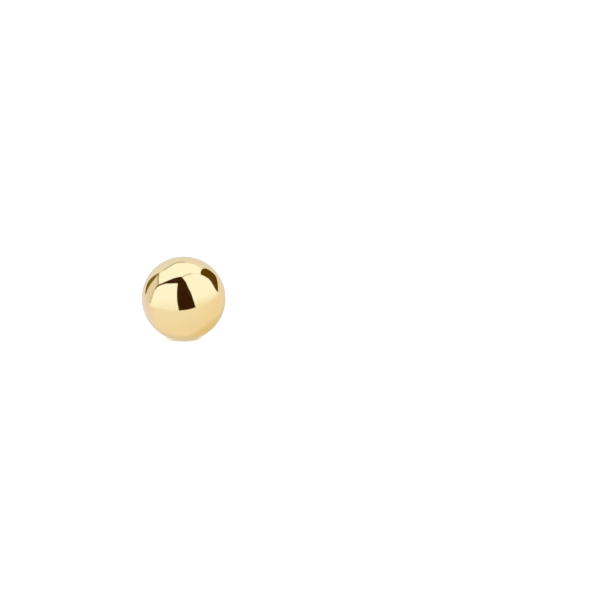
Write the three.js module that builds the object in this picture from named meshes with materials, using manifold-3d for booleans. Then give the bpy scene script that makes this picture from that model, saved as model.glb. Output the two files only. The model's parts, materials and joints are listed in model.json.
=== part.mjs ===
// Ball stud earring with its butterfly back, lying at rest on a flat surface.
//
// A polished gold ball is soldered to a straight post. The post has a rounded tip and a shallow
// notch, and a butterfly back, stamped from one sheet and curled, is pushed on as far as the notch.
// The stud lies on the ball and on the lower edge of the back's plate, so the post slopes down a
// little. Millimetres, +Z up, the ball towards -Y and the post towards +Y. The origin is the middle
// of the footprint, on the surface that the stud lies on.

import * as THREE from 'three';
import { mergeVertices } from 'three/addons/utils/BufferGeometryUtils.js';
import Module from 'manifold-3d';

// Ball and post
const BALL_DIAMETER = 5;
const POST_DIAMETER = 0.8;
const POST_LENGTH = 9.5; // from the back of the ball to the tip
const TIP_LENGTH = 0.55; // the rounded end of the post
const SOLDER_WIDTH = 0.32; // the fillet of solder around the foot of the post
const NOTCH_FROM_TIP = 2.3; // from the tip to the middle of the notch
const NOTCH_WIDTH = 1;
const NOTCH_DEPTH = 0.07;

// Butterfly back
const SHEET_THICKNESS = 0.22;
const PLATE_HEIGHT = 2.9;
const PLATE_WIDTH = 3; // up to where the plate's rounded shoulders run into the arms
const PLATE_FLAT = 1.2; // the straight stretch in the middle of the plate's upper and lower edge
const ARM_HEIGHT = 2.2; // at the plate
const ARM_END_HEIGHT = 1.7;
const ARM_END_CORNER = 0.4;
const SCROLL_RADIUS = 0.85; // middle of the sheet, where an arm turns back
const CURL_RADIUS = 0.42; // middle of the sheet, where an arm's end curls in against the post
const CURL_TURN = THREE.MathUtils.degToRad(165);
const LIP_CLEARANCE = 0.04; // between each curled lip and the post
const HOLE_CLEARANCE = 0.06;
const FUNNEL_FLARE = 0.3; // how much wider the mouth of the hole is than the hole
const FUNNEL_DEPTH = 0.3;
const COLLAR_WALL = 0.16;
const COLLAR_HEIGHT = 0.24; // above the back of the plate

// How finely curves are divided
const SIDES_AROUND_POST = 64;
const ROWS_ON_BALL = 40;
const STEPS_ON_SMALL_CURVE = 6;
const STEPS_ALONG_BLANK = 120;
const SIDES_OF_HOLE = 40;

const ballRadius = BALL_DIAMETER / 2;
const postRadius = POST_DIAMETER / 2;
const tipAt = ballRadius + POST_LENGTH;
const notchAt = tipAt - NOTCH_FROM_TIP;
const holeRadius = postRadius + HOLE_CLEARANCE;

// The sheet of the back is flat as far as curlCentreX. From there it turns back around the scroll, and
// then tighter, so that its curled end passes the post at the notch. The plate is ahead of the notch.
const curlCentreX = postRadius + LIP_CLEARANCE + SHEET_THICKNESS / 2 + CURL_RADIUS;
const scrollLength = Math.PI * SCROLL_RADIUS;
const armLength = curlCentreX + scrollLength + CURL_TURN * CURL_RADIUS;
const lipFromPlate = 2 * SCROLL_RADIUS - CURL_RADIUS;
const plateAt = notchAt - lipFromPlate;
const plateFront = plateAt - SHEET_THICKNESS / 2;
const plateBack = plateAt + SHEET_THICKNESS / 2;

const wasm = await Module();
wasm.setup();

const polishedGold = new THREE.MeshStandardMaterial({
  name: 'polished_gold',
  color: 0xf0d08a,
  metalness: 1,
  roughness: 0.06,
});
const stampedGold = new THREE.MeshStandardMaterial({
  name: 'stamped_gold',
  color: 0xeccb84,
  metalness: 1,
  roughness: 0.18,
});

// A closed three.js geometry as a solid that can be joined and cut.
function solidOf(geometry) {
  geometry.deleteAttribute('normal');
  geometry.deleteAttribute('uv');
  const merged = mergeVertices(geometry);
  return new wasm.Manifold(
    new wasm.Mesh({
      numProp: 3,
      vertProperties: merged.attributes.position.array,
      triVerts: new Uint32Array(merged.index.array),
    }),
  );
}

// A joined or cut solid as a three.js geometry.
function geometryOf(solid) {
  const mesh = solid.getMesh();
  const geometry = new THREE.BufferGeometry();
  geometry.setAttribute('position', new THREE.BufferAttribute(mesh.vertProperties, 3));
  geometry.setIndex(new THREE.BufferAttribute(mesh.triVerts, 1));
  geometry.computeVertexNormals();
  return geometry;
}

// The ball, the solder fillet and the notched post are one piece of metal, turned about the post's axis.
function ballAndPost() {
  const filletRadius = postRadius + SOLDER_WIDTH;
  const filletAngle = Math.acos(filletRadius / ballRadius);
  const ballBackAtPost = Math.sqrt(ballRadius ** 2 - postRadius ** 2);
  const ballArc = new THREE.EllipseCurve(0, 0, ballRadius, ballRadius, -Math.PI / 2, filletAngle);

  const post = new THREE.Path();
  post.moveTo(filletRadius, ballRadius * Math.sin(filletAngle));
  post.quadraticCurveTo(postRadius, ballBackAtPost, postRadius, ballRadius + SOLDER_WIDTH);
  post.lineTo(postRadius, notchAt - NOTCH_WIDTH / 2);
  post.quadraticCurveTo(postRadius - 2 * NOTCH_DEPTH, notchAt, postRadius, notchAt + NOTCH_WIDTH / 2);
  post.lineTo(postRadius, tipAt - TIP_LENGTH);
  post.absellipse(0, tipAt - TIP_LENGTH, postRadius, TIP_LENGTH, 0, Math.PI / 2, false);

  const profile = [
    ...ballArc.getPoints(ROWS_ON_BALL),
    ...post.getPoints(STEPS_ON_SMALL_CURVE).slice(1),
  ];
  profile[0].x = 0;
  profile[profile.length - 1].x = 0;
  return new THREE.LatheGeometry(profile, SIDES_AROUND_POST);
}

// Half the height of the flat blank, at a length from its middle: the plate, its shoulders, the arm
// that narrows to its end, and the end's rounded corner.
function blankHalfHeight(length) {
  const plateShare = 1 - THREE.MathUtils.smoothstep(length, PLATE_FLAT / 2, PLATE_WIDTH / 2);
  const height = THREE.MathUtils.lerp(ARM_HEIGHT, ARM_END_HEIGHT, length / armLength);
  const intoCorner = Math.max(0, length - (armLength - ARM_END_CORNER));
  const cornerLoss = ARM_END_CORNER - Math.sqrt(ARM_END_CORNER ** 2 - intoCorner ** 2);
  return THREE.MathUtils.lerp(height, PLATE_HEIGHT, plateShare) / 2 - cornerLoss;
}

// Where a place on the blank comes to lie once it is curled, in X and along the post. The place is
// given by its length from the middle of the blank and its distance behind the middle of the sheet.
function onCurledSheet(length, behind) {
  const pastFlat = length - curlCentreX;
  if (pastFlat <= 0) {
    return { x: length, along: plateAt + behind };
  }
  const onScroll = pastFlat <= scrollLength;
  const turn = onScroll ? pastFlat / SCROLL_RADIUS : Math.PI + (pastFlat - scrollLength) / CURL_RADIUS;
  const radius = (onScroll ? SCROLL_RADIUS : CURL_RADIUS) - behind;
  const centreAlong = plateAt + (onScroll ? SCROLL_RADIUS : lipFromPlate);
  return { x: curlCentreX + radius * Math.sin(turn), along: centreAlong - radius * Math.cos(turn) };
}

// The stamped blank with both arms curled: a strip whose every point is moved to its place.
function curledBlank() {
  const strip = new THREE.BoxGeometry(2 * armLength, 2, SHEET_THICKNESS, STEPS_ALONG_BLANK);
  const position = strip.attributes.position;
  const point = new THREE.Vector3();
  for (let i = 0; i < position.count; i += 1) {
    point.fromBufferAttribute(position, i);
    const length = Math.min(Math.abs(point.x), armLength);
    const place = onCurledSheet(length, point.z);
    position.setXYZ(i, Math.sign(point.x) * place.x, place.along, -point.y * blankHalfHeight(length));
  }
  return solidOf(strip);
}

// The collar pressed up around the hole, behind the plate.
function collar() {
  const foot = holeRadius + FUNNEL_FLARE + COLLAR_WALL;
  const profile = [
    new THREE.Vector2(0, plateAt),
    new THREE.Vector2(foot, plateAt),
    new THREE.Vector2(foot, plateBack),
    new THREE.Vector2(holeRadius + COLLAR_WALL, plateBack + COLLAR_HEIGHT),
    new THREE.Vector2(0, plateBack + COLLAR_HEIGHT),
  ];
  return solidOf(new THREE.LatheGeometry(profile, SIDES_OF_HOLE));
}

// The hole for the post, with its funnel mouth on the side of the ear.
function hole() {
  const mouth = holeRadius + FUNNEL_FLARE;
  const profile = [
    new THREE.Vector2(0, plateFront - SHEET_THICKNESS),
    new THREE.Vector2(mouth, plateFront - SHEET_THICKNESS),
    new THREE.Vector2(mouth, plateFront),
    new THREE.Vector2(holeRadius, plateFront + FUNNEL_DEPTH),
    new THREE.Vector2(holeRadius, plateBack + COLLAR_HEIGHT + SHEET_THICKNESS),
    new THREE.Vector2(0, plateBack + COLLAR_HEIGHT + SHEET_THICKNESS),
  ];
  return solidOf(new THREE.LatheGeometry(profile, SIDES_OF_HOLE));
}

// The butterfly back is one piece of sheet: curled blank, collar and hole.
function butterflyBack() {
  return geometryOf(curledBlank().add(collar()).subtract(hole()));
}

// The slope of the post when the ball and one other point both lie on the surface. The point is at
// a distance along the post from the ball's centre, and at a distance below the post's axis.
function slopeToRestOn(along, below) {
  return Math.asin(ballRadius / Math.hypot(along, below)) - Math.atan2(below, along);
}

// The slope at which the first point behind the ball meets the surface.
function restingSlope(geometries) {
  const point = new THREE.Vector3();
  let slope = Math.PI / 2;
  for (const { attributes } of geometries) {
    for (let i = 0; i < attributes.position.count; i += 1) {
      point.fromBufferAttribute(attributes.position, i);
      if (point.y > ballRadius) {
        slope = Math.min(slope, slopeToRestOn(point.y, -point.z));
      }
    }
  }
  return slope;
}

function namedMesh(name, geometry, material) {
  const mesh = new THREE.Mesh(geometry, material);
  mesh.name = name;
  return mesh;
}

const ballAndPostShape = ballAndPost();
const backShape = butterflyBack();

const stud = new THREE.Group();
stud.add(namedMesh('ball_and_post', ballAndPostShape, polishedGold));
stud.add(namedMesh('butterfly_back', backShape, stampedGold));
stud.rotation.x = -restingSlope([ballAndPostShape, backShape]);

// Put the middle of the footprint at the origin, on the surface.
const box = new THREE.Box3().setFromObject(stud, true);
const middle = box.getCenter(new THREE.Vector3());
stud.position.set(-middle.x, -middle.y, -box.min.z);

const earring = new THREE.Group();
earring.add(stud);

export default earring;
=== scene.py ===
"""A gold ball stud earring with its butterfly back, resting on a pale studio floor.

The ball and its notched post are one turned piece. The back is a strip of sheet that is curled
along its length, pierced by a funnelled hole. Both are drawn along the post, with X to the side,
Y along the post from the middle of the ball and Z up, and are then laid down at the slope at which
the stud rests. The studio holds the soft panels and dark flags that the polished ball reflects.
"""

import json
import math
from typing import NamedTuple

import bmesh
import bpy
from mathutils import Matrix, Vector
from mathutils.geometry import interpolate_bezier


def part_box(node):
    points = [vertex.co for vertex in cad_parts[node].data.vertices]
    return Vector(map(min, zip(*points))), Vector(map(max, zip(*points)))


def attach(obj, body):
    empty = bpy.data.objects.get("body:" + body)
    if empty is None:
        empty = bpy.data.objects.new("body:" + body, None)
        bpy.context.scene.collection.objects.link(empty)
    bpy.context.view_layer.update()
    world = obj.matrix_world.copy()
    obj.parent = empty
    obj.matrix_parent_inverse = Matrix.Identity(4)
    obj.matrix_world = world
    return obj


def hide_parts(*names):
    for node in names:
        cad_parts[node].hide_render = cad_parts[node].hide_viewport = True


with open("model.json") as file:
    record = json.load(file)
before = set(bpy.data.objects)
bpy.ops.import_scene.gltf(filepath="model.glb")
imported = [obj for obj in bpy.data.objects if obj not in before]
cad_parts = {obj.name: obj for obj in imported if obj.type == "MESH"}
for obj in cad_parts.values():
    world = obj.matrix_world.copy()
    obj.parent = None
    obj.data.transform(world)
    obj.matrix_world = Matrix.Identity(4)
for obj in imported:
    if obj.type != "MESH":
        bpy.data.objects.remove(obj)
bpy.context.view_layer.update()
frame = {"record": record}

bl_info = {
    "name": "Ball stud earring",
    "version": (1, 0, 0),
    "blender": (4, 5, 0),
    "location": "View3D > Sidebar > Ball stud",
    "description": "Models a gold ball stud earring, its butterfly back and a small photo studio",
    "category": "Add Mesh",
}

MM = 0.001

# Points that lie closer together than this are taken for one
TOUCHING = 0.001 * MM

# The ball and the slope of the post, from the frame
lobe_face = frame["record"]["mounts"][0]
stud_low, stud_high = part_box("ball_and_post")
BALL_RADIUS = (stud_high.x - stud_low.x) / 2
BALL_CENTRE = Vector((0, stud_low.y + BALL_RADIUS, (stud_low.z + stud_high.z) / 2))
POST_DIRECTION = -Vector(lobe_face["axis"]).normalized()
SLOPE = math.asin(-POST_DIRECTION.z)
PLATE_FRONT = (Vector(lobe_face["pos_m"]) - BALL_CENTRE).dot(POST_DIRECTION)
LAID_DOWN = Matrix.Translation(BALL_CENTRE) @ Matrix.Rotation(-SLOPE, 4, "X")


def linear(hex_colour):
    """Turns an sRGB hex colour into linear red, green and blue."""
    shares = [int(hex_colour[i:i + 2], 16) / 255 for i in (1, 3, 5)]
    return tuple(s / 12.92 if s <= 0.04045 else ((s + 0.055) / 1.055) ** 2.4 for s in shares)


def length_setting(name, description, millimetres):
    """A length in the sidebar, given in millimetres."""
    return bpy.props.FloatProperty(
        name=name, description=description, default=millimetres * MM, min=0, precision=5, unit="LENGTH"
    )


def colour_setting(name, description, hex_colour):
    """A colour in the sidebar, given as an sRGB hex value."""
    return bpy.props.FloatVectorProperty(
        name=name, description=description, default=(*linear(hex_colour), 1), size=4, min=0, max=1,
        subtype="COLOR",
    )


def strength_setting(name, description, strength):
    """How strongly something glows, in the sidebar."""
    return bpy.props.FloatProperty(name=name, description=description, default=strength, min=0)


class StudSettings(bpy.types.PropertyGroup):
    """Sizes of the post behind the ball, and the colours of the ball and the post."""

    post_radius: length_setting("Post radius", "Half the thickness of the post", 0.4)
    post_length: length_setting("Post length", "From the back of the ball to the tip", 9.5)
    tip_length: length_setting("Tip length", "The rounded end of the post", 0.55)
    solder_width: length_setting("Solder width", "The fillet of solder round the post's foot", 0.32)
    notch_from_tip: length_setting("Notch from tip", "From the tip to the middle of the notch", 2.3)
    notch_width: length_setting("Notch width", "How much of the post the notch takes", 1)
    notch_depth: length_setting("Notch depth", "How deep the notch is", 0.07)
    gold: colour_setting("Gold", "Polished yellow gold, seen straight on", "#F0D8A0")
    haze: colour_setting("Haze", "Where the polish is a little less clear", "#ECD297")
    drawn: colour_setting("Drawn gold", "The wire of the post", "#EBD096")


class BackSettings(bpy.types.PropertyGroup):
    """Sizes of the butterfly back, and the colours of its sheet."""

    thickness: length_setting("Sheet thickness", "Thickness of the sheet", 0.22)
    plate_height: length_setting("Plate height", "Height of the plate", 2.9)
    plate_width: length_setting("Plate width", "Up to where its shoulders run into the arms", 3)
    plate_flat: length_setting("Plate flat", "Straight stretch of its upper and lower edge", 1.2)
    arm_height: length_setting("Arm height", "Height of an arm at the plate", 2.2)
    arm_end_height: length_setting("Arm end height", "Height of an arm at its end", 1.7)
    arm_end_corner: length_setting("Arm end corner", "Rounding of the arm's end", 0.4)
    scroll_radius: length_setting("Scroll radius", "Where an arm turns back", 0.85)
    curl_radius: length_setting("Curl radius", "Where an arm's end curls in", 0.42)
    curl_turn: bpy.props.FloatProperty(
        name="Curl turn", description="How far the end curls", default=math.radians(165), subtype="ANGLE"
    )
    curl_centre: length_setting("Curl centre", "From the post's axis to the middle of a curl", 0.97)
    hole_radius: length_setting("Hole radius", "Half the width of the hole for the post", 0.46)
    funnel_flare: length_setting("Funnel flare", "How much wider the mouth is than the hole", 0.3)
    funnel_depth: length_setting("Funnel depth", "How deep the mouth goes", 0.3)
    collar_wall: length_setting("Collar wall", "Thickness of the collar's rim", 0.16)
    collar_height: length_setting("Collar height", "The collar above the back of the plate", 0.24)
    rounding: length_setting("Rounding", "Rounding of the tumbled edges", 0.05)
    sheet: colour_setting("Sheet", "Stamped and tumbled yellow gold", "#EBCF94")
    rubbed: colour_setting("Rubbed", "Where tumbling has rubbed it brighter", "#F2DCA8")


class StudioSettings(bpy.types.PropertyGroup):
    """The camera, and the distances, colours and lights of the studio."""

    camera_distance: length_setting("Camera distance", "From the middle of the ball", 98.5)
    focal_length: bpy.props.FloatProperty(
        name="Focal length", description="Of the camera's lens", default=100, min=10, unit="CAMERA"
    )
    flag_distance: length_setting("Flag distance", "From the middle of the ball to the flags", 45)
    panel_distance: length_setting("Panel distance", "From the middle of the ball to the panels", 90)
    floor: colour_setting("Floor", "The pale floor", "#F4F4F4")
    panel: colour_setting("Panel", "Cloth of the soft panels, in daylight", "#D9E4FF")
    panel_foot: colour_setting("Panel foot", "The same cloth where less light reaches it", "#C9CBC8")
    spill: colour_setting("Spill", "Cloth that a panel's light spills on", "#E9EDF9")
    left_wall: colour_setting("Left wall", "Board between the panels and the left flag", "#F2F3FF")
    seam: colour_setting("Seam", "Tape where two panels meet", "#A8A48C")
    front_flag: colour_setting("Front flag", "Brown-black cloth of the flag in front", "#3A2001")
    flag_tail: colour_setting("Flag tail", "Where that flag runs out on the left", "#6B4E1A")
    right_flag: colour_setting("Right flag", "Dark brown board on the right", "#614406")
    left_flag: colour_setting("Left flag", "Brown board on the left", "#80702C")
    ceiling: colour_setting("Ceiling", "What the gold reflects from above", "#E4EBFF")
    walls: colour_setting("Walls", "What the gold reflects from around", "#F0F0F6")
    table: colour_setting("Table", "What the gold reflects from below on the right", "#EAE4DA")
    behind: colour_setting("Behind", "What the gold reflects from straight behind", "#D9E0F5")
    low_behind: colour_setting("Low behind", "What the gold reflects from low behind", "#D5CDB6")
    left_behind: colour_setting("Left behind", "What the gold reflects from behind on the left", "#E6E4FF")
    right_behind: colour_setting("Right behind", "What the gold reflects from low on the right", "#DFD2AB")
    panel_light: strength_setting("Panel light", "How strongly the panels glow", 1.74)
    spill_light: strength_setting("Spill light", "How strongly the cloth under the panels glows", 1.3)
    room_light: strength_setting("Room light", "The room as the gold reflects it", 1.2)
    floor_light: strength_setting("Floor light", "The light on the floor, and behind the picture", 3)


# Modelling helpers


def start_from(add_primitive, **settings):
    """Adds a primitive with nothing else selected, and opens it in edit mode."""
    bpy.ops.object.select_all(action="DESELECT")
    add_primitive(**settings)
    piece = bpy.context.object
    bpy.ops.object.transform_apply(location=True, rotation=True, scale=True)
    bpy.ops.object.mode_set(mode="EDIT")
    bpy.ops.mesh.select_mode(type="VERT")
    return piece


def select_points(piece, wanted):
    """In edit mode, selects the points for which wanted is true, and what lies between them."""
    mesh = bmesh.from_edit_mesh(piece.data)
    for point in mesh.verts:
        point.select_set(False)
    mesh.select_flush(False)
    for point in mesh.verts:
        if wanted(point):
            point.select_set(True)
    mesh.select_flush(True)
    bmesh.update_edit_mesh(piece.data)


def carry_ring(profile):
    """Extrudes the selected ring round the Y axis through a profile of places along it and radii."""
    (along, radius), *rest = profile
    for next_along, next_radius in rest:
        share = next_radius / radius
        bpy.ops.mesh.extrude_region_move(
            TRANSFORM_OT_translate={"value": (0, next_along - along, 0)}
        )
        bpy.ops.transform.resize(value=(share, 1, share), center_override=(0, next_along, 0))
        along, radius = next_along, next_radius


def close_at(along, last_along):
    """Draws the selected ring together in one point of the Y axis."""
    bpy.ops.mesh.extrude_region_move(TRANSFORM_OT_translate={"value": (0, along - last_along, 0)})
    bpy.ops.mesh.merge(type="CENTER")


def curve_between(start, bend, end, steps):
    """Points of the curve from start to end that leaves and arrives in the direction of bend."""
    points = []
    for step in range(steps + 1):
        t = step / steps
        points.append(
            tuple((1 - t) ** 2 * a + 2 * t * (1 - t) * b + t * t * c for a, b, c in zip(start, bend, end))
        )
    return points


def put_in_order(piece):
    """In edit mode, puts the points, edges and faces in an order that depends only on their places.

    The Boolean modifier can leave them in another order each time, which changes what is dissolved.
    """
    mesh = bmesh.from_edit_mesh(piece.data)
    aside = Vector((31, 17, 23)) * MM
    mesh.verts.sort(key=lambda point: (point.co - aside).length)
    mesh.edges.sort(key=lambda edge: ((edge.verts[0].co + edge.verts[1].co) / 2 - aside).length)
    mesh.faces.sort(key=lambda face: (face.calc_center_median() - aside).length)
    bmesh.update_edit_mesh(piece.data)


def finish_mesh(smooth_angle):
    """Merges doubled points, turns the faces outwards, leaves edit mode and shades the piece."""
    bpy.ops.mesh.select_all(action="SELECT")
    bpy.ops.mesh.remove_doubles(threshold=TOUCHING / 2)
    bpy.ops.mesh.normals_make_consistent(inside=False)
    bpy.ops.object.mode_set(mode="OBJECT")
    bpy.ops.object.shade_smooth_by_angle(angle=math.radians(smooth_angle))


def apply_modifier(piece, kind, **settings):
    """Adds a modifier with its settings and applies it."""
    modifier = piece.modifiers.new(kind.title(), kind)
    for name, value in settings.items():
        setattr(modifier, name, value)
    bpy.ops.object.select_all(action="DESELECT")
    piece.select_set(True)
    bpy.context.view_layer.objects.active = piece
    bpy.ops.object.modifier_apply(modifier=modifier.name)


def lay_down(piece, name):
    """Names a piece that was drawn along the post and lays it down at the slope of the resting stud."""
    piece.name = name
    piece.data.name = name
    piece.data.transform(LAID_DOWN)


# Materials


def new_material(name):
    """Makes an empty material and returns it with its node tree."""
    material = bpy.data.materials.new(name)
    material.use_nodes = True
    material.node_tree.nodes.clear()
    return material, material.node_tree


def add_node(tree, kind, output, inputs=None, **settings):
    """Adds a node with its settings and links, and returns the output of that name, if one is named.

    Each input is a value, or an output of another node that it is linked from.
    """
    node = tree.nodes.new(kind)
    for name, value in settings.items():
        setattr(node, name, value)
    for socket, value in (inputs or {}).items():
        if isinstance(value, bpy.types.NodeSocket):
            tree.links.new(value, node.inputs[socket])
        else:
            node.inputs[socket].default_value = value
    return node.outputs[output] if output else None


def along_post(tree):
    """Coordinates in which Y runs along the post from the middle of the ball."""
    place = add_node(tree, "ShaderNodeTexCoord", "Object")
    laid_down = {"Vector": place, "Location": BALL_CENTRE, "Rotation": (-SLOPE, 0, 0)}
    return add_node(tree, "ShaderNodeMapping", "Vector", laid_down, vector_type="TEXTURE")


def metal_surface(tree, colour, roughness, relief):
    """The metal itself, from the outputs that give its colour, its roughness and its relief."""
    metal = add_node(
        tree,
        "ShaderNodeBsdfPrincipled",
        "BSDF",
        {"Base Color": colour, "Metallic": 1.0, "Roughness": roughness, "Normal": relief},
    )
    add_node(tree, "ShaderNodeOutputMaterial", None, {"Surface": metal})


def polished_gold(settings):
    """Yellow gold, mirror polished on a felt wheel.

    The eye gets clear reflections with crisp edges, a faint haze where the wheel has left it less
    clear, and a surface that is a thousandth of a millimetre out of true.
    """
    material, tree = new_material("polished_yellow_gold")
    place = along_post(tree)
    haze_size, wave_size, wave_height = 0.9 * MM, 1.6 * MM, 0.001 * MM
    haze = add_node(
        tree, "ShaderNodeTexNoise", "Fac", {"Vector": place, "Scale": 1 / haze_size, "Detail": 5.0}
    )
    colour = add_node(
        tree,
        "ShaderNodeMix",
        "Result",
        {"Factor": haze, "A": settings.gold, "B": settings.haze},
        data_type="RGBA",
    )
    roughness = add_node(
        tree,
        "ShaderNodeMapRange",
        "Result",
        {"Value": haze, "From Min": 0.3, "From Max": 0.7, "To Min": 0.045, "To Max": 0.08},
    )
    waves = add_node(
        tree, "ShaderNodeTexNoise", "Fac", {"Vector": place, "Scale": 1 / wave_size, "Detail": 1.0}
    )
    relief = add_node(
        tree, "ShaderNodeBump", "Normal", {"Height": waves, "Strength": 1.0, "Distance": wave_height}
    )
    metal_surface(tree, colour, roughness, relief)
    return material


def drawn_gold(settings):
    """Yellow gold wire, drawn through a die and lightly buffed.

    The eye gets fine lines along the post, which spread the highlights across it. The lines are
    0.05 mm apart, coarser than a die leaves them, so that they show.
    """
    material, tree = new_material("drawn_yellow_gold_wire")
    line_width, line_length, line_depth = 0.05 * MM, 3 * MM, 0.001 * MM
    stretched = add_node(
        tree,
        "ShaderNodeMapping",
        "Vector",
        {"Vector": along_post(tree), "Scale": (1, line_width / line_length, 1)},
    )
    lines = add_node(
        tree, "ShaderNodeTexNoise", "Fac", {"Vector": stretched, "Scale": 1 / line_width, "Detail": 4.0}
    )
    colour = add_node(
        tree,
        "ShaderNodeMix",
        "Result",
        {"Factor": lines, "A": settings.drawn, "B": settings.gold},
        data_type="RGBA",
    )
    roughness = add_node(
        tree,
        "ShaderNodeMapRange",
        "Result",
        {"Value": lines, "From Min": 0.3, "From Max": 0.7, "To Min": 0.14, "To Max": 0.26},
    )
    relief = add_node(
        tree, "ShaderNodeBump", "Normal", {"Height": lines, "Strength": 1.0, "Distance": line_depth}
    )
    metal_surface(tree, colour, roughness, relief)
    return material


def stamped_gold(settings):
    """Yellow gold sheet, stamped, curled and tumbled with steel shot.

    The eye gets a soft shine broken by tiny dents, a little brighter where the shot has rubbed.
    """
    material, tree = new_material("tumbled_yellow_gold_sheet")
    place = along_post(tree)
    dent_size, dent_depth, rubbing_size = 0.16 * MM, 0.002 * MM, 0.4 * MM
    dents = add_node(
        tree,
        "ShaderNodeTexVoronoi",
        "Distance",
        {"Vector": place, "Scale": 1 / dent_size},
        feature="SMOOTH_F1",
    )
    rubbing = add_node(
        tree, "ShaderNodeTexNoise", "Fac", {"Vector": place, "Scale": 1 / rubbing_size, "Detail": 6.0}
    )
    colour = add_node(
        tree,
        "ShaderNodeMix",
        "Result",
        {"Factor": rubbing, "A": settings.sheet, "B": settings.rubbed},
        data_type="RGBA",
    )
    roughness = add_node(
        tree,
        "ShaderNodeMapRange",
        "Result",
        {"Value": rubbing, "From Min": 0.3, "From Max": 0.7, "To Min": 0.2, "To Max": 0.32},
    )
    relief = add_node(
        tree, "ShaderNodeBump", "Normal", {"Height": dents, "Strength": 1.0, "Distance": dent_depth}
    )
    metal_surface(tree, colour, roughness, relief)
    return material


# The ball and post


def post_profile(sizes):
    """Places along the post and radii, from the edge of the solder to just before the tip."""
    radius = sizes.post_radius
    tip = BALL_RADIUS + sizes.post_length
    notch = tip - sizes.notch_from_tip
    solder_radius = radius + sizes.solder_width
    solder_start = math.sqrt(BALL_RADIUS**2 - solder_radius**2)
    ball_at_post = math.sqrt(BALL_RADIUS**2 - radius**2)
    solder = curve_between(
        (solder_start, solder_radius),
        (ball_at_post, radius),
        (BALL_RADIUS + sizes.solder_width, radius),
        steps=24,
    )
    groove = curve_between(
        (notch - sizes.notch_width / 2, radius),
        (notch, radius - 2 * sizes.notch_depth),
        (notch + sizes.notch_width / 2, radius),
        steps=12,
    )
    tip_steps = 10
    turns = [math.radians(90 * step / tip_steps) for step in range(tip_steps)]
    round_end = [
        (tip - sizes.tip_length * (1 - math.sin(turn)), radius * math.cos(turn)) for turn in turns
    ]
    return [*solder, *groove, *round_end], tip


class MESH_OT_ball_and_post(bpy.types.Operator):
    """Model the polished ball with its post, the solder at the post's foot and the notch"""

    bl_idname = "mesh.ball_and_post"
    bl_label = "Ball and post"

    def execute(self, context):
        sizes = context.scene.stud_settings
        profile, tip = post_profile(sizes)
        solder_start = profile[0][0]
        piece = start_from(
            bpy.ops.mesh.primitive_uv_sphere_add,
            segments=192,
            ring_count=128,
            radius=BALL_RADIUS,
            rotation=(math.radians(-90), 0, 0),
        )
        bpy.ops.mesh.select_all(action="SELECT")
        bpy.ops.mesh.bisect(
            plane_co=(0, solder_start, 0), plane_no=(0, 1, 0), clear_outer=True, threshold=TOUCHING
        )
        select_points(piece, lambda point: point.is_boundary)
        carry_ring(profile)
        close_at(tip, profile[-1][0])
        finish_mesh(smooth_angle=50)

        post_start = BALL_RADIUS + sizes.solder_width
        piece.data.materials.append(polished_gold(sizes))
        piece.data.materials.append(drawn_gold(sizes))
        for face in piece.data.polygons:
            face.material_index = 1 if face.center.y > post_start else 0
        lay_down(piece, "polished_ball_and_post")
        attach(piece, "root")
        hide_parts("ball_and_post")
        return {"FINISHED"}


# The butterfly back


def blank_half_height(sizes, length, arm_length):
    """Half the height of the flat blank, at a length from its middle."""
    into_shoulder = (length - sizes.plate_flat / 2) / ((sizes.plate_width - sizes.plate_flat) / 2)
    into_shoulder = min(max(into_shoulder, 0), 1)
    plate_share = 1 - into_shoulder**2 * (3 - 2 * into_shoulder)
    height = sizes.arm_height + (sizes.arm_end_height - sizes.arm_height) * length / arm_length
    into_corner = max(0, length - (arm_length - sizes.arm_end_corner))
    corner_loss = sizes.arm_end_corner - math.sqrt(max(0, sizes.arm_end_corner**2 - into_corner**2))
    return (height + (sizes.plate_height - height) * plate_share) / 2 - corner_loss


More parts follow.
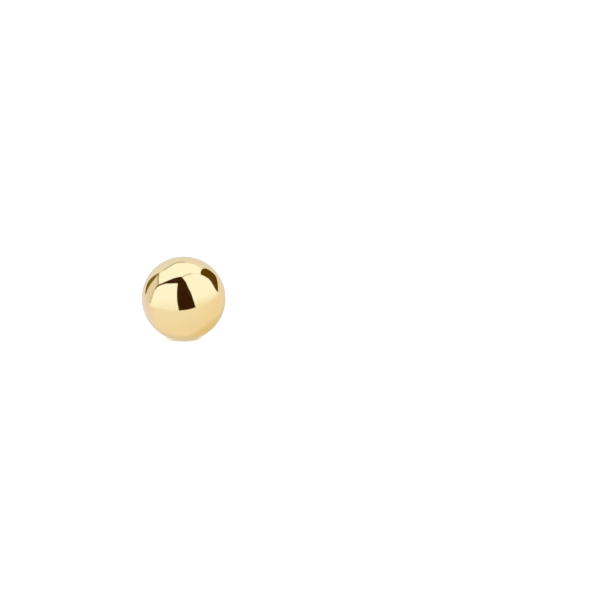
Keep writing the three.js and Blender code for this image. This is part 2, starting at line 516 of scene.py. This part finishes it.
class MESH_OT_butterfly_back(bpy.types.Operator):
    """Model the butterfly back from a curled strip of sheet with a funnelled hole"""

    bl_idname = "mesh.butterfly_back"
    bl_label = "Butterfly back"

    def execute(self, context):
        sizes = context.scene.back_settings
        piece = self.curled_sheet(sizes)
        plate_back = PLATE_FRONT + sizes.thickness
        collar_top = plate_back + sizes.collar_height
        round_start = collar_top - sizes.rounding
        rim = sizes.hole_radius + sizes.collar_wall
        foot = rim + sizes.funnel_flare
        flank_bend = (plate_back + sizes.rounding / 2, rim)
        flank = curve_between((plate_back, foot), flank_bend, (round_start, rim), steps=8)
        rim_top = (collar_top, rim - sizes.rounding)
        rim_edge = curve_between((round_start, rim), (collar_top, rim), rim_top, steps=4)
        collar = self.turned([(plate_back - sizes.thickness / 2, foot), *flank, *rim_edge[1:]])
        mouth = sizes.hole_radius + sizes.funnel_flare
        funnel = curve_between(
            (PLATE_FRONT, mouth),
            (PLATE_FRONT, sizes.hole_radius),
            (PLATE_FRONT + sizes.funnel_depth, sizes.hole_radius),
            steps=10,
        )
        hole = self.turned(
            [
                (PLATE_FRONT - sizes.thickness, mouth + sizes.rounding),
                (PLATE_FRONT - sizes.rounding, mouth + sizes.rounding),
                *funnel,
                (collar_top + sizes.thickness, sizes.hole_radius),
            ]
        )
        for operation, part in (("UNION", collar), ("DIFFERENCE", hole)):
            apply_modifier(piece, "BOOLEAN", operation=operation, object=part, solver="EXACT")
            bpy.data.objects.remove(part)
        bpy.ops.object.mode_set(mode="EDIT")
        put_in_order(piece)
        bpy.ops.mesh.select_all(action="SELECT")
        bpy.ops.mesh.dissolve_limited(angle_limit=math.radians(0.5))
        finish_mesh(smooth_angle=40)
        apply_modifier(piece, "WEIGHTED_NORMAL", keep_sharp=True, weight=100)

        piece.data.materials.clear()
        piece.data.materials.append(stamped_gold(sizes))
        lay_down(piece, "tumbled_butterfly_back")
        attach(piece, "root")
        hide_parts("butterfly_back")
        return {"FINISHED"}

    def curled_sheet(self, sizes):
        """The strip of sheet with both arms curled: one arm is extruded edge by edge and mirrored."""
        flat_steps, scroll_steps, curl_steps = 12, 24, 20
        flat_step = sizes.curl_centre / flat_steps
        arm_length = (
            sizes.curl_centre + math.pi * sizes.scroll_radius + sizes.curl_turn * sizes.curl_radius
        )
        plate = PLATE_FRONT + sizes.thickness / 2
        scroll_centre = plate + sizes.scroll_radius
        curl_centre = plate + 2 * sizes.scroll_radius - sizes.curl_radius

        # Each step goes straight ahead, or turns at a radius about a centre
        straight = (flat_step, 0, 0, 0)
        scroll = (0, math.pi / scroll_steps, sizes.scroll_radius, scroll_centre)
        curl = (0, sizes.curl_turn / curl_steps, sizes.curl_radius, curl_centre)

        piece = start_from(bpy.ops.mesh.primitive_plane_add, size=1, rotation=(math.radians(90), 0, 0))
        height = 2 * blank_half_height(sizes, 0, arm_length)
        bpy.ops.mesh.select_all(action="SELECT")
        bpy.ops.transform.translate(value=(0.5, 0, 0))
        bpy.ops.transform.resize(value=(flat_step, 1, height), center_override=(0, 0, 0))
        bpy.ops.transform.translate(value=(0, plate, 0))
        select_points(piece, lambda point: point.co.x > flat_step / 2)
        length = flat_step
        for ahead, turn, radius, centre in (
            *[straight] * (flat_steps - 1),
            *[scroll] * scroll_steps,
            *[curl] * curl_steps,
        ):
            bpy.ops.mesh.extrude_region_move(TRANSFORM_OT_translate={"value": (ahead, 0, 0)})
            if turn:
                bpy.ops.transform.rotate(
                    value=-turn, orient_axis="Z", center_override=(sizes.curl_centre, centre, 0)
                )
            length += ahead + turn * radius
            next_height = 2 * blank_half_height(sizes, length, arm_length)
            bpy.ops.transform.resize(value=(1, 1, next_height / height), center_override=(0, 0, 0))
            height = next_height
        bpy.ops.object.mode_set(mode="OBJECT")
        apply_modifier(piece, "MIRROR", use_clip=True, merge_threshold=TOUCHING)
        bpy.ops.object.mode_set(mode="EDIT")
        finish_mesh(smooth_angle=40)
        apply_modifier(piece, "SOLIDIFY", thickness=sizes.thickness, offset=0, use_even_offset=True)
        sharp = math.radians(50)
        apply_modifier(
            piece, "BEVEL", width=sizes.rounding, segments=3, limit_method="ANGLE", angle_limit=sharp
        )
        return piece

    def turned(self, profile):
        """A solid turned round the post's axis, closed at both ends."""
        along, radius = profile[0]
        piece = start_from(
            bpy.ops.mesh.primitive_circle_add,
            vertices=72,
            radius=radius,
            fill_type="NGON",
            location=(0, along, 0),
            rotation=(math.radians(90), 0, 0),
        )
        bpy.ops.mesh.select_all(action="SELECT")
        carry_ring(profile)
        finish_mesh(smooth_angle=40)
        return piece


# The studio

# What the front of the ball reflects, as shares of its radius to the right and up. A card has several
# edges. Each is a smooth curve through its points, as far as the corner where the next edge starts.
FRONT_FLAG = (
    ((-0.46, 0.347), (-0.39, 0.398), (-0.31, 0.431), (-0.21, 0.47), (-0.11, 0.491)),
    ((-0.05, 0.5), (-0.01, 0.45), (0.034, 0.4), (0.062, 0.35), (0.09, 0.28), (0.17, 0.12), (0.218, -0.02)),
    ((0.278, -0.21), (0.09, -0.262)),
    ((-0.11, -0.284), (-0.145, -0.1), (-0.157, 0.08), (-0.15, 0.23)),
    ((-0.138, 0.345), (-0.39, 0.337)),
)
FRONT_FLAG_TAIL = (
    ((-0.69, 0.15), (-0.652, 0.235), (-0.61, 0.295), (-0.51, 0.348)),
    ((-0.39, 0.395),),
    ((-0.39, 0.34), (-0.51, 0.306), (-0.59, 0.268), (-0.634, 0.228)),
)
RIGHT_FLAG = (
    (
        (0.39, 0.55), (0.397, 0.63), (0.437, 0.684), (0.51, 0.695), (0.59, 0.662), (0.682, 0.594),
        (0.753, 0.508), (0.786, 0.382), (0.798, 0.26),
    ),
    ((0.802, 0.13), (0.738, 0.205), (0.619, 0.402), (0.524, 0.488)),
)
LEFT_FLAG = (
    ((-0.553, 0.603), (-0.692, 0.523), (-0.798, 0.423), (-0.861, 0.31), (-0.889, 0.18)),
    ((-0.897, 0.085), (-0.866, 0.125), (-0.83, 0.218), (-0.76, 0.338), (-0.668, 0.453)),
)
LEFT_WALL = (
    ((-0.56, 0.57), (-0.57, 0.3), (-0.685, 0.14), (-0.745, -0.04)),
    ((-0.78, -0.11),),
    ((-0.83, -0.11), (-0.878, 0), (-0.896, 0.12), (-0.85, 0.26), (-0.73, 0.44)),
)
LEFT_PANEL = (
    ((-0.59, 0.29), (-0.645, 0.225), (-0.695, 0.14), (-0.722, 0.055), (-0.755, -0.04)),
    ((-0.77, -0.1), (-0.745, -0.165), (-0.61, -0.213), (-0.41, -0.253), (-0.21, -0.273)),
    ((-0.06, -0.255),),
    ((-0.06, 0.43), (-0.31, 0.39)),
)
TOP_PANEL = (
    ((-0.585, 0.31), (-0.578, 0.4), (-0.587, 0.52)),
    (
        (-0.57, 0.575), (-0.41, 0.67), (-0.21, 0.792), (-0.09, 0.823), (0.05, 0.82), (0.19, 0.805),
        (0.29, 0.767), (0.39, 0.712),
    ),
    ((0.46, 0.66),),
    ((0.41, 0.567), (0.19, 0.58), (0.09, 0.56), (-0.01, 0.514)),
    ((-0.03, 0.46), (-0.21, 0.44), (-0.41, 0.365)),
)
RIGHT_PANEL = (
    ((0.41, 0.555), (0.31, 0.566), (0.19, 0.566), (0.09, 0.546)),
    ((-0.01, 0.5), (0.04, 0.3), (0.14, 0.05)),
    ((0.27, -0.175), (0.39, -0.138), (0.51, -0.092), (0.59, -0.042), (0.69, 0.025), (0.79, 0.112)),
    ((0.815, 0.147), (0.79, 0.3), (0.73, 0.42), (0.63, 0.53), (0.49, 0.6)),
)

# Tapes along the seams of the panels, and cloths under the panels with a painted pool of their spilled
# light: their widths and middle lines
SEAMS = {
    "left_seam": (
        0.03,
        ((-0.574, 0.57), (-0.585, 0.52), (-0.59, 0.47), (-0.589, 0.41), (-0.587, 0.34), (-0.59, 0.28)),
    ),
    "lower_left_seam": (0.014, ((-0.68, 0.175), (-0.723, 0.058), (-0.755, -0.04), (-0.775, -0.11))),
    "top_seam": (0.016, ((-0.48, 0.638), (-0.41, 0.686), (-0.21, 0.807), (-0.09, 0.838), (0.04, 0.84))),
    "right_seam": (0.014, ((-0.04, 0.48), (0.01, 0.517), (0.09, 0.548), (0.19, 0.567))),
}
SPILLS = {
    "left_spill": (
        0.07,
        (
            (-0.775, -0.11), (-0.75, -0.175), (-0.61, -0.235), (-0.41, -0.275), (-0.21, -0.295),
            (-0.11, -0.295),
        ),
    ),
    "right_spill": (
        0.07,
        (
            (0.28, -0.19), (0.39, -0.16), (0.51, -0.112), (0.59, -0.06), (0.69, 0.005), (0.79, 0.092),
            (0.82, 0.137),
        ),
    ),
}


class Region(NamedTuple):
    """Directions round a place: a shade starts and is full at these angles off it, in degrees."""

    place: tuple
    starts_at: float
    full_from: float


# The shades of the surroundings, by their settings. The later ones lie over the earlier ones.
SHADES = {
    "ceiling": Region((0, 0, 1), 84, 53),
    "table": Region((0.46, 0.7, -0.54), 101.5, 0),
    "behind": Region(tuple(POST_DIRECTION), 56.5, 26),
    "left_behind": Region((-0.8, 0.58, -0.15), 35, 8),
    "right_behind": Region((0.45, 0.54, -0.71), 26, 3),
}

# The shade low behind lies where these two regions overlap
ALL_BEHIND = Region(tuple(POST_DIRECTION), 62, 30)
LOW = Region((0.2, 0.75, -0.63), 41.5, 14)

# The panels dim towards their foot, below and a little to the right
FOOT = (0.22, 0.1, -0.97)
PANEL_FADE = Region(FOOT, 96, 71)
LEFT_PANEL_FADE = Region(FOOT, 112, 28)


def camera_place(studio):
    """The camera looks along the post's axis, so the ball hides the post and the back."""
    return BALL_CENTRE - studio.camera_distance * POST_DIRECTION


def reflected_place(studio, right, up, distance):
    """Where a place is, at a distance from the ball, that the camera sees reflected in the ball.

    The spot on the ball is given as shares of its radius to the right and up.
    """
    towards_camera = -POST_DIRECTION
    side = Vector((1, 0, 0))
    above = towards_camera.cross(side)
    outward = right * side + up * above + math.sqrt(1 - right**2 - up**2) * towards_camera
    spot = BALL_RADIUS * outward
    ray = (spot - studio.camera_distance * towards_camera).normalized()
    bounced = ray - 2 * ray.dot(outward) * outward
    ahead = spot.dot(bounced)
    reach = -ahead + math.sqrt(ahead**2 + distance**2 - BALL_RADIUS**2)
    return BALL_CENTRE + spot + reach * bounced


def curve_through(points):
    """A smooth curve through points."""
    steps = 4
    knots = [Vector(point) for point in (points[0], *points, points[-1])]
    curve = []
    for before, start, end, after in zip(knots, knots[1:], knots[2:], knots[3:]):
        leaving = start + (end - before) / 6
        arriving = end - (after - start) / 6
        curve += interpolate_bezier(start, leaving, arriving, end, steps + 1)[:-1]
    return [*curve, knots[-1]]


def card_outline(edges):
    """The outline of a card, from the edges that run from corner to corner."""
    outline = []
    for edge, next_edge in zip(edges, (*edges[1:], edges[0])):
        outline += curve_through((*edge, next_edge[0]))[:-1]
    return outline


def ribbon_outline(points, width):
    """The outline of a strip along a smooth curve, pointed at both ends."""
    line = curve_through(points)
    left_side, right_side = [], []
    for before, middle, after in zip(line, line[1:-1], line[2:]):
        across = (after - before).orthogonal().normalized() * width / 2
        left_side.append(middle + across)
        right_side.append(middle - across)
    return [line[0], *left_side, line[-1], *reversed(right_side)]


def shade_region(tree, direction, first, second, region):
    """Fades from a first colour to a second one where the direction lies in a region."""
    facing = add_node(
        tree, "ShaderNodeVectorMath", "Value", {0: direction, 1: region.place}, operation="DOT_PRODUCT"
    )
    share = add_node(
        tree,
        "ShaderNodeMapRange",
        "Result",
        {
            "Value": facing,
            "From Min": math.cos(math.radians(region.starts_at)),
            "From Max": math.cos(math.radians(region.full_from)),
        },
    )
    return add_node(
        tree,
        "ShaderNodeMix",
        "Result",
        {"Factor": share, "A": first, "B": second},
        data_type="RGBA",
    )


def even_cloth(name, colour, strength=1.0):
    """Cloth, tape or board that glows evenly: the light it would give back is painted in as its glow."""
    material, tree = new_material(name)
    light = add_node(tree, "ShaderNodeEmission", "Emission", {"Color": colour, "Strength": strength})
    add_node(tree, "ShaderNodeOutputMaterial", None, {"Surface": light})
    return material


def panel_cloth(name, studio, fade):
    """Thin cloth in daylight, which dims towards its foot."""
    material, tree = new_material(name)
    place = add_node(tree, "ShaderNodeTexCoord", "Object")
    direction = add_node(tree, "ShaderNodeVectorMath", "Vector", {0: place}, operation="NORMALIZE")
    colour = shade_region(tree, direction, studio.panel, studio.panel_foot, fade)
    light = add_node(
        tree, "ShaderNodeEmission", "Emission", {"Color": colour, "Strength": studio.panel_light}
    )
    add_node(tree, "ShaderNodeOutputMaterial", None, {"Surface": light})
    return material


def reflected_card(studio, name, outline, distance, material):
    """A card, curved a little round the ball, that shows only in reflections.

    It is drawn flat, as the ball shows it, and divided. Each of its points is then carried to the
    place that the camera sees reflected there.
    """
    bpy.ops.object.select_all(action="DESELECT")
    bpy.ops.mesh.primitive_circle_add(vertices=len(outline), radius=1, fill_type="NGON")
    card = bpy.context.object
    card.name = name
    for point, place in zip(card.data.vertices, outline):
        point.co = (place.x, place.y, 0)
    apply_modifier(card, "TRIANGULATE")
    apply_modifier(card, "SUBSURF", subdivision_type="SIMPLE", levels=3, render_levels=3)
    for point in card.data.vertices:
        point.co = reflected_place(studio, point.co.x, point.co.y, distance)
    card.data.materials.append(material)
    card.visible_camera = False
    card.visible_diffuse = False
    card.visible_shadow = False


class SCENE_OT_studio(bpy.types.Operator):
    """Set up the floor, the light, the reflected panels and flags, and the camera"""

    bl_idname = "scene.ball_stud_studio"
    bl_label = "Studio"

    def execute(self, context):
        studio = context.scene.studio_settings
        self.floor(studio)
        self.surroundings(context.scene, studio)
        self.cards(studio)
        self.camera(context.scene, studio)
        context.scene.view_settings.view_transform = "Standard"
        return {"FINISHED"}

    def floor(self, studio):
        """A matt white board, so evenly lit that its edge doesn't show. The metal doesn't reflect it."""
        floor_radius = 500 * MM
        bpy.ops.object.select_all(action="DESELECT")
        bpy.ops.mesh.primitive_circle_add(vertices=64, radius=floor_radius, fill_type="NGON")
        floor = bpy.context.object
        floor.name = "floor"
        material, tree = new_material("matt_white_board")
        board = add_node(
            tree, "ShaderNodeBsdfDiffuse", "BSDF", {"Color": studio.floor, "Roughness": 1.0}
        )
        add_node(tree, "ShaderNodeOutputMaterial", None, {"Surface": board})
        floor.data.materials.append(material)
        floor.visible_glossy = False

    def surroundings(self, scene, studio):
        """White surroundings. Only the metal sees their shades."""
        scene.world = bpy.data.worlds.new("surroundings")
        scene.world.use_nodes = True
        scene.world.cycles.sampling_method = "NONE"
        tree = scene.world.node_tree
        tree.nodes.clear()
        direction = add_node(tree, "ShaderNodeTexCoord", "Generated")
        colour = studio.walls
        for setting, region in SHADES.items():
            colour = shade_region(tree, direction, colour, getattr(studio, setting), region)
        low = shade_region(tree, direction, colour, studio.low_behind, ALL_BEHIND)
        colour = shade_region(tree, direction, colour, low, LOW)
        seen_by_metal = add_node(
            tree, "ShaderNodeBackground", "Background", {"Color": colour, "Strength": studio.room_light}
        )
        white = add_node(
            tree,
            "ShaderNodeBackground",
            "Background",
            {"Color": (1, 1, 1, 1), "Strength": studio.floor_light},
        )
        seen_in_a_reflection = add_node(tree, "ShaderNodeLightPath", "Is Glossy Ray")
        both = add_node(
            tree, "ShaderNodeMixShader", "Shader", {0: seen_in_a_reflection, 1: white, 2: seen_by_metal}
        )
        add_node(tree, "ShaderNodeOutputWorld", None, {"Surface": both})

    def cards(self, studio):
        """The panels and flags. Nearer ones hide farther ones, so those that overlap differ in distance."""
        step = 5 * MM
        near, far = studio.flag_distance, studio.panel_distance
        panel = panel_cloth("daylight_panel_cloth", studio, PANEL_FADE)
        left_panel = panel_cloth("daylight_left_panel_cloth", studio, LEFT_PANEL_FADE)
        # The spill, the seams, the flags and the wall are no lamps: each glows evenly, with its lit look
        # painted in
        spill = even_cloth("spill_cloth", studio.spill, studio.spill_light)
        seam = even_cloth("seam_tape", studio.seam)
        front = even_cloth("brown_black_flag_cloth", studio.front_flag)
        tail = even_cloth("brown_flag_cloth", studio.flag_tail)
        right = even_cloth("dark_brown_flag_board", studio.right_flag)
        left = even_cloth("brown_flag_board", studio.left_flag)
        wall = even_cloth("pale_wall_board", studio.left_wall)
        for name, edges, distance, material in (
            ("left_panel", LEFT_PANEL, far + step, left_panel),
            ("top_panel", TOP_PANEL, far, panel),
            ("right_panel", RIGHT_PANEL, far - step, panel),
            ("left_wall", LEFT_WALL, far + 2 * step, wall),
            ("front_flag", FRONT_FLAG, near, front),
            ("front_flag_tail", FRONT_FLAG_TAIL, near + step / 2, tail),
            ("right_flag", RIGHT_FLAG, near, right),
            ("left_flag", LEFT_FLAG, near, left),
        ):
            reflected_card(studio, name, card_outline(edges), distance, material)
        for name, (width, points) in SEAMS.items():
            reflected_card(studio, name, ribbon_outline(points, width), near + step, seam)
        for name, (width, points) in SPILLS.items():
            reflected_card(studio, name, ribbon_outline(points, width), far + 3 * step, spill)

    def camera(self, scene, studio):
        """The ball stands left of the middle of the picture, as in the photograph."""
        ball_in_picture = Vector((183.7, 298.3))
        picture_middle = Vector((300, 300))
        picture_width = 600
        lens = bpy.data.cameras.new("camera")
        lens.lens = studio.focal_length
        lens.clip_start = 1 * MM
        lens.clip_end = 2
        camera = bpy.data.objects.new("camera", lens)
        scene.collection.objects.link(camera)
        camera.location = camera_place(studio)
        pixels_per_unit = picture_width * lens.lens / lens.sensor_width
        off_axis = (ball_in_picture - picture_middle) / pixels_per_unit
        level = POST_DIRECTION.to_track_quat("-Z", "Y").to_matrix()
        towards_ball = Vector((off_axis.x, -off_axis.y, -1)).normalized()
        turn = towards_ball.rotation_difference(Vector((0, 0, -1))).to_matrix()
        camera.rotation_euler = (level @ turn).to_euler()
        scene.camera = camera


class VIEW3D_PT_ball_stud(bpy.types.Panel):
    """Lists the sizes, the colours and the steps"""

    bl_idname = "VIEW3D_PT_ball_stud"
    bl_label = "Ball stud earring"
    bl_space_type = "VIEW_3D"
    bl_region_type = "UI"
    bl_category = "Ball stud"

    def draw(self, context):
        for settings, operator in (
            (context.scene.stud_settings, MESH_OT_ball_and_post),
            (context.scene.back_settings, MESH_OT_butterfly_back),
            (context.scene.studio_settings, SCENE_OT_studio),
        ):
            box = self.layout.box()
            for name in settings.__annotations__:
                box.prop(settings, name)
            box.operator(operator.bl_idname)


CLASSES = (
    StudSettings,
    BackSettings,
    StudioSettings,
    MESH_OT_ball_and_post,
    MESH_OT_butterfly_back,
    SCENE_OT_studio,
    VIEW3D_PT_ball_stud,
)


def register():
    for each in CLASSES:
        bpy.utils.register_class(each)
    bpy.types.Scene.stud_settings = bpy.props.PointerProperty(type=StudSettings)
    bpy.types.Scene.back_settings = bpy.props.PointerProperty(type=BackSettings)
    bpy.types.Scene.studio_settings = bpy.props.PointerProperty(type=StudioSettings)


def unregister():
    del bpy.types.Scene.studio_settings
    del bpy.types.Scene.back_settings
    del bpy.types.Scene.stud_settings
    for each in reversed(CLASSES):
        bpy.utils.unregister_class(each)


def main():
    register()
    bpy.ops.scene.ball_stud_studio()
    bpy.ops.mesh.ball_and_post()
    bpy.ops.mesh.butterfly_back()


if __name__ == "__main__":
    main()
